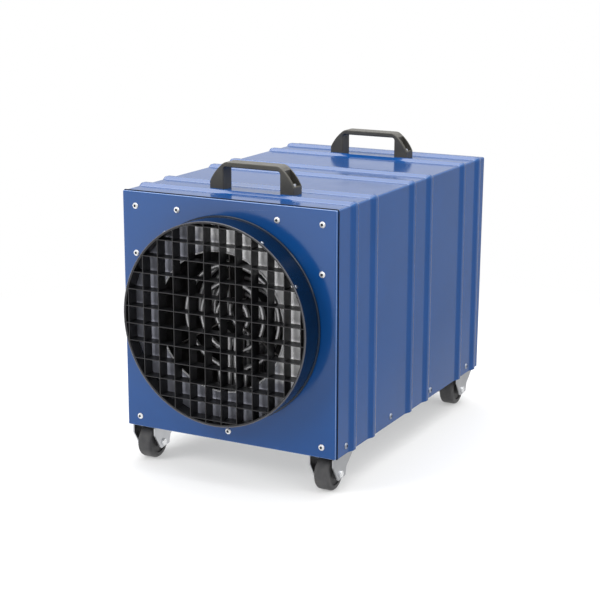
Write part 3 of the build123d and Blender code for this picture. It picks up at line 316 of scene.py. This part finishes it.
panel_low, panel_high = (np.array(corner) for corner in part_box("front_panel"))
shade_strip_half_width, shade_strip_rise, bend = 0.0017, 0.0015, 0.003
turn = np.radians(np.linspace(180, 90, 9))
arc = np.stack([np.cos(turn), np.sin(turn)], 1)
centre = np.array([panel_high[0] - bend, panel_high[2] - bend])
left_arc = arc * bend + (-centre[0], centre[1])
right_arc = (arc * (-1, 1))[::-1] * bend + centre
flat = np.concatenate([[(-panel_high[0], panel_low[2])], left_arc, right_arc, [(panel_high[0], panel_low[2])]])
facing = np.concatenate([[(-1, 0)], arc, (arc * (-1, 1))[::-1], [(1, 0)]])
shade_strip_place = panel_high[1] + shade_strip_half_width
path = np.stack([flat[:, 0], np.full(len(flat), shade_strip_place), flat[:, 1]], 1)
outward = np.stack([facing[:, 0], np.zeros(len(flat)), facing[:, 1]], 1)
shade_strip_sink = 0.0002
round_over = np.radians(np.linspace(-90, 270, 17))
section = np.stack([shade_strip_rise * np.sin(round_over) - shade_strip_sink, shade_strip_half_width * np.cos(round_over)], 1)
joint_shade_strip = surface("joint_shade_strip", *swept(path, outward, section, (0, 1, 0)))
# Near black on purpose: painted shade of the gap.
joint_shade_black, tree, shader = new_finish("joint_shade_black", (0.005, 0.006, 0.009), 0, 0.75)
tones(tree, shader, cloud(tree, 80), (0.003, 0.004, 0.006), (0.007, 0.008, 0.012))
relief(tree, shader, cloud(tree, 900, 2), 0.00004)
shader.inputs["Specular IOR Level"].default_value = 0.12
joint_shade_strip.data.materials.append(joint_shade_black)
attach(joint_shade_strip, "casing")

# Hose collar: outlet_collar
# Rolled sheet steel ring with a flange behind the front panel, in a glossy blue so dark that it looks
# black; the rim is a little lighter, partly where the hose rubs it and partly as a painted highlight
# on its rounded edge, and the raised ring at the foot is dull.
collar_navy, tree, shader = new_finish("collar_navy", (0.001, 0.013, 0.04), 0, 0.1)
tones(tree, shader, cloud(tree, 14), (0.0006, 0.008, 0.026), (0.001, 0.011, 0.034))
relief(tree, shader, cloud(tree, 180, 2), 0.00005)
front_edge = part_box("outlet_collar")[0][1]
place = tree.nodes.new("ShaderNodeTexCoord")
along = tree.nodes.new("ShaderNodeSeparateXYZ")
tree.links.new(place.outputs["Object"], along.inputs[0])
# Grey band at the rim: wear, and a painted highlight on the rounded edge.
wear_and_highlight = tree.nodes.new("ShaderNodeMix")
wear_and_highlight.data_type = "RGBA"
rim_wear_and_highlight_start, rim_wear_and_highlight_end = 0.001, 0.0025
rim_wear_and_highlight = spread(tree, along.outputs["Y"], 1, 0, front_edge + rim_wear_and_highlight_start, front_edge + rim_wear_and_highlight_end)
tree.links.new(rim_wear_and_highlight, wear_and_highlight.inputs[0])
tree.links.new(shader.inputs["Base Color"].links[0].from_socket, wear_and_highlight.inputs[6])
wear_and_highlight.inputs[7].default_value = (0.07, 0.07, 0.08, 1)
tree.links.new(wear_and_highlight.outputs[2], shader.inputs["Base Color"])
wear(collar_navy, "outlet_collar")
foot_navy, tree, shader = new_finish("collar_foot_navy", (0.001, 0.009, 0.03), 0, 0.4)
tones(tree, shader, cloud(tree, 14), (0.0006, 0.008, 0.026), (0.001, 0.011, 0.034))
shader.inputs["Specular IOR Level"].default_value = 0.1
collar = nodes["outlet_collar"].data
collar.materials.append(foot_navy)
foot_depth = 0.006
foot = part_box("outlet_collar")[1][1] - foot_depth
for face in collar.polygons:
    face.material_index = int(face.center[1] > foot)
axis_height = sum(corner[2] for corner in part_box("outlet_collar")) / 2

# Grille and intake guard: outlet_grille, intake_guard
# Black painted steel strips slotted into each other inside a band, and a punched round guard that is
# screwed over the opening in the rear panel.
grille_black, tree, shader = new_finish("grille_black", (0.018, 0.018, 0.02), 0, 0.38)
tones(tree, shader, cloud(tree, 40), (0.006, 0.006, 0.007), (0.012, 0.012, 0.014))
relief(tree, shader, cloud(tree, 400, 2), 0.00003)
wear(grille_black, "outlet_grille", "intake_guard")

# Galvanised sheet: base_pan, rear_frame, duct_cradle, motor_mount and mounting_rail
# Cut and folded zinc dipped steel, screwed or welded inside the casing, with the spangle of the zinc
# crystals in it.
galvanised, tree, shader = new_finish("galvanised", (0.62, 0.64, 0.66), 1, 0.35)
place = tree.nodes.new("ShaderNodeTexCoord")
spangle = tree.nodes.new("ShaderNodeTexVoronoi")
spangle.inputs["Scale"].default_value = 90
tree.links.new(place.outputs["Object"], spangle.inputs["Vector"])
crystal = tree.nodes.new("ShaderNodeSeparateColor")
tree.links.new(spangle.outputs["Color"], crystal.inputs["Color"])
tones(tree, shader, crystal.outputs["Red"], (0.52, 0.54, 0.56), (0.70, 0.72, 0.74), 0, 1)
tree.links.new(spread(tree, crystal.outputs["Green"], 0.28, 0.42, 0, 1), shader.inputs["Roughness"])
wear(
    galvanised,
    "duct_cradle", "base_pan", "rear_frame",
    "motor_mount", "mounting_rail",
)

# Sheet metal round the heating rods: air_duct, element_combs, element_rail
# Rolled steel sheet that the rods' heat has tarnished to a dull dark brown grey.
tarnished, tree, shader = new_finish("tarnished_steel", (0.09, 0.085, 0.085), 0.6, 0.5)
tones(tree, shader, cloud(tree, 22), (0.05, 0.048, 0.05), (0.12, 0.112, 0.11))
tree.links.new(spread(tree, cloud(tree, 70), 0.42, 0.6), shader.inputs["Roughness"])
wear(tarnished, "air_duct", "element_combs", "element_rail")

# Ring behind the grille: baffle_ring
# Flat ring of plain steel sheet, set behind the grille. Its colour runs from dark at the lower left to
# light at the upper right: a painted reflection of the light that comes in through the grille.
ring_steel, tree, shader = new_finish("ring_steel", (0.7, 0.71, 0.73), 0.35, 0.45)
# Painted reflection: the base colour grows lighter towards the upper right, with a little noise.
spot = tree.nodes.new("ShaderNodeTexCoord")
ring_light_slope = tree.nodes.new("ShaderNodeVectorMath")
ring_light_slope.operation = "DOT_PRODUCT"
ring_light_slope.inputs[1].default_value = (3.8, 0, 2.4)
tree.links.new(spot.outputs["Object"], ring_light_slope.inputs[0])
ring_light_gradient = tree.nodes.new("ShaderNodeMath")
ring_light_gradient.operation = "ADD"
tree.links.new(ring_light_slope.outputs["Value"], ring_light_gradient.inputs[0])
tree.links.new(spread(tree, cloud(tree, 40), -0.12, 0.12), ring_light_gradient.inputs[1])
tones(tree, shader, ring_light_gradient.outputs[0], (0.34, 0.35, 0.41), (0.97, 0.97, 0.98), 0.8, 1.3)
wear(ring_steel, "baffle_ring")

# Rolled edge of the ring's hole
# The sheet's edge is turned back into a small round lip, coloured near white as a painted highlight:
# the bright round line where the lip catches the light.
ring_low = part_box("baffle_ring")[0]
lip_radius, hole_radius = 0.0016, 0.1206
around = np.linspace(0, 2 * np.pi, 97)
spokes = np.stack([np.cos(around), np.zeros(len(around)), np.sin(around)], 1)
round_over = np.linspace(0, 2 * np.pi, 13)
section = lip_radius * np.stack([np.cos(round_over), np.sin(round_over)], 1)
edge_lift = 0.0012
hole_centre = np.array([0, ring_low[1] - edge_lift, axis_height])
rolled_edge = surface("ring_edge", *swept(hole_centre + hole_radius * spokes, spokes, section, (0, 1, 0)))
# Near white, not shiny metal: a painted highlight.
edge_highlight_white, tree, shader = new_finish("ring_edge_highlight", (0.9, 0.9, 0.92), 0.0, 0.1)
tones(tree, shader, cloud(tree, 70), (0.90, 0.90, 0.92), (0.97, 0.97, 0.98))
rolled_edge.data.materials.append(edge_highlight_white)
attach(rolled_edge, "casing")

# Heating rods: heating_element_front, _middle and _rear
# Smooth steel tubes round their resistance wire, tarnished grey by the heat and still shiny.
rod_steel, tree, shader = new_finish("rod_steel", (0.62, 0.62, 0.63), 0.85, 0.32)
tones(tree, shader, cloud(tree, 25), (0.50, 0.50, 0.51), (0.74, 0.74, 0.75))
wear(rod_steel, "heating_element_front", "heating_element_middle", "heating_element_rear")

# Handles, knobs and switches: front_handle, rear_handle and the black controls
# Moulded black nylon with a fine matt grain. The handles are screwed to the top through their feet, and
# the knobs are pushed onto their spindles.
handle_black, tree, shader = new_finish("handle_black", (0.03, 0.03, 0.028), 0, 0.5)
tones(tree, shader, cloud(tree, 60), (0.045, 0.042, 0.034), (0.062, 0.058, 0.047))
relief(tree, shader, cloud(tree, 900, 2), 0.00008)
wear(
    handle_black,
    "front_handle", "rear_handle", "selector_switch", "selector_knob", "thermostat", "thermostat_knob",
    "limit_thermostat", "overheat_switch",
)

# Panel screws: front_panel_screws, side_screws and rear_panel_screws
# Round headed machine screws with a six-sided socket, pressed from steel and plated bright with zinc;
# the socket is dark with grease and shade.
def screw_head(radius, rise, socket, depth, sides=24):
    """Rings of points: a dome that falls off with the square of the radius, a rounded brim, and a socket
    whose radius follows a hexagon. The head stands on z = 0."""
    angle = np.arange(sides) * 2 * np.pi / sides
    hexagon = np.cos(np.pi / 6) / np.cos(np.mod(angle, np.pi / 3) - np.pi / 6)
    rings = [(radius, 0.0, 0), (radius, 0.22 * rise, 0)]
    for share in (0.97, 0.9, 0.8, 0.68, 0.56):
        rings.append((share * radius, rise * (1 - 0.72 * share**2.4), 0))
    rings += [(1.12 * socket, rise * 0.94, 1), (socket, rise * 0.88, 1), (socket, rise * 0.88 - depth, 1)]
    points = [
        np.stack([r * np.cos(angle), r * np.sin(angle), np.full(sides, z)], 1)
        * (np.stack([hexagon, hexagon, np.ones(sides)], 1) if six else 1)
        for r, z, six in rings
    ]
    points.append(np.array([[0, 0, rise * 0.88 - depth]]))
    grid = np.arange(len(rings) * sides).reshape(-1, sides)
    step = np.roll(grid, -1, axis=1)
    quads = np.stack([grid[:-1], step[:-1], step[1:], grid[1:]], -1).reshape(-1, 4)
    middle = len(rings) * sides
    fan = np.stack([grid[-1], step[-1], np.full(sides, middle)], 1)
    return np.concatenate(points), quads.tolist() + fan.tolist()


def screw_places(name, axis_of, head_reach=0.022):
    """Middle of each screw's head in a CAD piece, and the way the head faces. Points closer together than
    head_reach metres that face the same way are one screw; its place is the middle of their box, moved out
    to the furthest point."""
    mesh = nodes[name].data
    points = np.empty(len(mesh.vertices) * 3)
    mesh.vertices.foreach_get("co", points)
    found = []
    for point in points.reshape(-1, 3):
        for group in found:
            same_way = np.dot(axis_of(point), axis_of(group[0])) > 0.9
            if np.linalg.norm(group[0] - point) < head_reach and same_way:
                group.append(point)
                break
        else:
            found.append([point])
    places = []
    for group in found:
        group = np.array(group)
        facing = axis_of(group.mean(0))
        reach = group @ facing
        middle = (group.min(0) + group.max(0)) / 2
        places.append((middle + (reach.max() - middle @ facing) * facing, facing))
    return places


def set_screws(name, places, shape, sink):
    """One mesh of heads, each turned to face outwards and set with its top sink metres below the place."""
    head, faces = shape
    points, all_faces = [], []
    for count, (place, facing) in enumerate(places):
        across = np.cross(facing, (0, 0, 1) if abs(facing[2]) < 0.9 else (0, 1, 0))
        across /= np.linalg.norm(across)
        spin = 1.1 * count
        first = math.cos(spin) * across + math.sin(spin) * np.cross(facing, across)
        frame_of_head = np.stack([first, np.cross(facing, first), facing])
        all_faces += [[len(head) * count + corner for corner in face] for face in faces]
        points.append(head @ frame_of_head + place - (head[:, 2].max() + sink) * facing)
    return surface(name, np.concatenate(points), all_faces)


zinc_bright, tree, shader = new_finish("zinc_bright", (0.85, 0.86, 0.88), 0.6, 0.24)
tones(tree, shader, cloud(tree, 45), (0.80, 0.81, 0.83), (0.90, 0.91, 0.92))
tree.links.new(spread(tree, cloud(tree, 90), 0.2, 0.3), shader.inputs["Roughness"])
socket_shade, tree, shader = new_finish("socket_shade", (0.03, 0.035, 0.045), 0.5, 0.55)
tones(tree, shader, cloud(tree, 300), (0.02, 0.024, 0.032), (0.05, 0.055, 0.07))


def darken_sockets(heads, shape, plating):
    """The plating on the heads, and the dark finish on each head's last faces, which line its socket."""
    heads.data.materials.append(plating)
    heads.data.materials.append(socket_shade)
    sides = sum(len(face) == 3 for face in shape[1])
    place_in_head = np.arange(len(heads.data.polygons)) % len(shape[1])
    lined = (place_in_head >= len(shape[1]) - 3 * sides).astype(np.int32)
    heads.data.polygons.foreach_set("material_index", lined)


side_zinc, tree, shader = new_finish("side_zinc", (0.42, 0.46, 0.54), 1, 0.3)
tones(tree, shader, cloud(tree, 45), (0.36, 0.40, 0.48), (0.48, 0.52, 0.60))
panel_head = screw_head(0.0054, 0.0026, 0.0024, 0.0016)
for name, plating, facing in (
    ("front_panel_screws", zinc_bright, lambda point: np.array([0.0, -1, 0])),
    ("side_screws", side_zinc, lambda point: np.array([math.copysign(1.0, point[0]), 0, 0])),
    ("rear_panel_screws", zinc_bright, lambda point: np.array([0.0, 1, 0])),
):
    heads = set_screws(name.replace("screws", "screw_heads"), screw_places(name, facing), panel_head, 0)
    darken_sockets(heads, panel_head, plating)
    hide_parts(name)
    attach(heads, "casing")

# Collar screws: collar_screws
# Four small domed screws through the collar's wall into the grille's band, in dull zinc. They show low
# domes, where the solid part has flush heads.
def away_from_axis(point):
    """Unit vector from the collar's axis to the point."""
    sideways = np.array([point[0], 0, point[2] - axis_height])
    return sideways / np.linalg.norm(sideways)


dull_zinc, tree, shader = new_finish("dull_zinc", (0.3, 0.32, 0.36), 1, 0.35)
tones(tree, shader, cloud(tree, 90), (0.24, 0.26, 0.30), (0.34, 0.36, 0.40))
small_head = screw_head(0.0031, 0.0015, 0.0011, 0.0009)
collar_head_stand = 0.0016
collar_places = screw_places("collar_screws", away_from_axis)
heads = set_screws("collar_screw_heads", collar_places, small_head, -collar_head_stand)
darken_sockets(heads, small_head, dull_zinc)
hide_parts("collar_screws")
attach(heads, "casing")

# Castor steel, castor bolts and handle screws
# Pressed forks and plates, turned axles and bolts, in a duller blue-grey zinc with fine scratches.
castor_zinc, tree, shader = new_finish("castor_zinc", (0.52, 0.53, 0.55), 1, 0.38)
tones(tree, shader, cloud(tree, 18), (0.46, 0.47, 0.49), (0.57, 0.58, 0.60))
tree.links.new(spread(tree, cloud(tree, 120), 0.32, 0.44), shader.inputs["Roughness"])
corners = [f"{end}_{side}" for end in ("front", "rear") for side in ("left", "right")]
wear(castor_zinc, *[f"castor_{part}_{corner}" for part in ("plate", "fork") for corner in corners])
wear(zinc_bright, "handle_screws", "castor_bolts", *[f"castor_axle_{corner}" for corner in corners])

# Wheels: castor_wheel
# Solid black rubber, dull and a little dusty on the tread, on an axle through the fork.
rubber, tree, shader = new_finish("wheel_rubber", (0.055, 0.055, 0.058), 0, 0.6)
tones(tree, shader, cloud(tree, 60), (0.042, 0.042, 0.045), (0.075, 0.074, 0.075))
relief(tree, shader, cloud(tree, 700, 2), 0.0001)
wear(rubber, *[f"castor_wheel_{corner}" for corner in corners])

# Marks at the knobs
# White lacquer printed on the rear panel, a short line at each stop of the two knobs, and a white line
# filled into the grip of each knob.
def printed_bars(name, place, ways, inner, outer, width, level, thickness=0.0001):
    """Flat bars on a plane that faces the rear: each runs from the inner to the outer radius round the
    place in its own way, an angle from straight up, and is a shallow box of that thickness."""
    points, faces, half = [], [], width / 2
    for count, way in enumerate(np.radians(list(ways))):
        run = np.array([math.sin(way), 0, math.cos(way)])
        side = np.array([math.cos(way), 0, -math.sin(way)])
        rise = np.array([0, 1.0, 0])
        corners = [
            np.array([place[0], level, place[1]]) + reach * run + across * side + up * rise
            for up in (0, thickness)
            for reach, across in ((inner, -half), (outer, -half), (outer, half), (inner, half))
        ]
        points += corners
        first = 8 * count
        faces += [[first + corner for corner in face] for face in (
            (4, 5, 6, 7), (0, 4, 7, 3), (1, 2, 6, 5), (0, 1, 5, 4), (2, 3, 7, 6), (0, 3, 2, 1)
        )]
    return surface(name, points, faces, smooth=False)


white_print, tree, shader = new_finish("white_print", (0.8, 0.8, 0.78), 0, 0.5)
tones(tree, shader, cloud(tree, 400), (0.66, 0.66, 0.64), (0.84, 0.84, 0.82))
panel_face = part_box("intake_guard")[0][1]
mark_size = 0.0205, 0.0245, 0.0011
line_size = 0.004, 0.0155, 0.0014
for knob, body, stops in (
    ("selector_knob", "selector", range(0, 136, 45)),
    ("thermostat_knob", "thermostat_control", range(-270, 1, 27)),
):
    low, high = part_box(knob)
    place = ((low[0] + high[0]) / 2, (low[2] + high[2]) / 2)
    marks = printed_bars(f"{knob}_marks", place, stops, *mark_size, panel_face)
    line = printed_bars(f"{knob}_line", place, [0], *line_size, high[1])
    for piece, carrier in ((marks, "casing"), (line, body)):
        piece.data.materials.append(white_print)
        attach(piece, carrier)

# Fan and motor: fan_rotor, fan_motor
# Cast aluminium housing and rotor, with the fine pitting of a mould left as cast.
cast_aluminium, tree, shader = new_finish("cast_aluminium", (0.5, 0.51, 0.53), 1, 0.45)
tones(tree, shader, cloud(tree, 35), (0.44, 0.45, 0.47), (0.58, 0.59, 0.60))
relief(tree, shader, cloud(tree, 500, 3), 0.0001)
wear(cast_aluminium, "fan_motor", "fan_rotor")

# Electrics and controls: contactor, terminal_block, lamps, reset_button, mains_inlet, inlet_pins
# Moulded grey boxes on a rail, clear green and amber lenses, a red button and a blue panel plug with
# brass pins, each set in its own hole in the rear panel.
grey_plastic, tree, shader = new_finish("grey_plastic", (0.33, 0.34, 0.35), 0, 0.45)
tones(tree, shader, cloud(tree, 60), (0.30, 0.31, 0.32), (0.36, 0.37, 0.38))
wear(grey_plastic, "contactor", "terminal_block")
for name, colour, piece in (
    ("green_lens", (0.03, 0.35, 0.08), "power_lamp"),
    ("amber_lens", (0.75, 0.25, 0.02), "heat_lamp"),
    ("button_red", (0.5, 0.02, 0.015), "reset_button"),
    ("plug_blue", (0.01, 0.06, 0.35), "mains_inlet"),
):
    moulded, tree, shader = new_finish(name, colour, 0, 0.25)
    tones(tree, shader, cloud(tree, 120), [0.9 * c for c in colour], [min(1, 1.1 * c) for c in colour])
    wear(moulded, piece)
pin_brass, tree, shader = new_finish("pin_brass", (0.72, 0.52, 0.22), 1, 0.25)
tones(tree, shader, cloud(tree, 90), (0.66, 0.47, 0.19), (0.78, 0.58, 0.27))
wear(pin_brass, "inlet_pins")
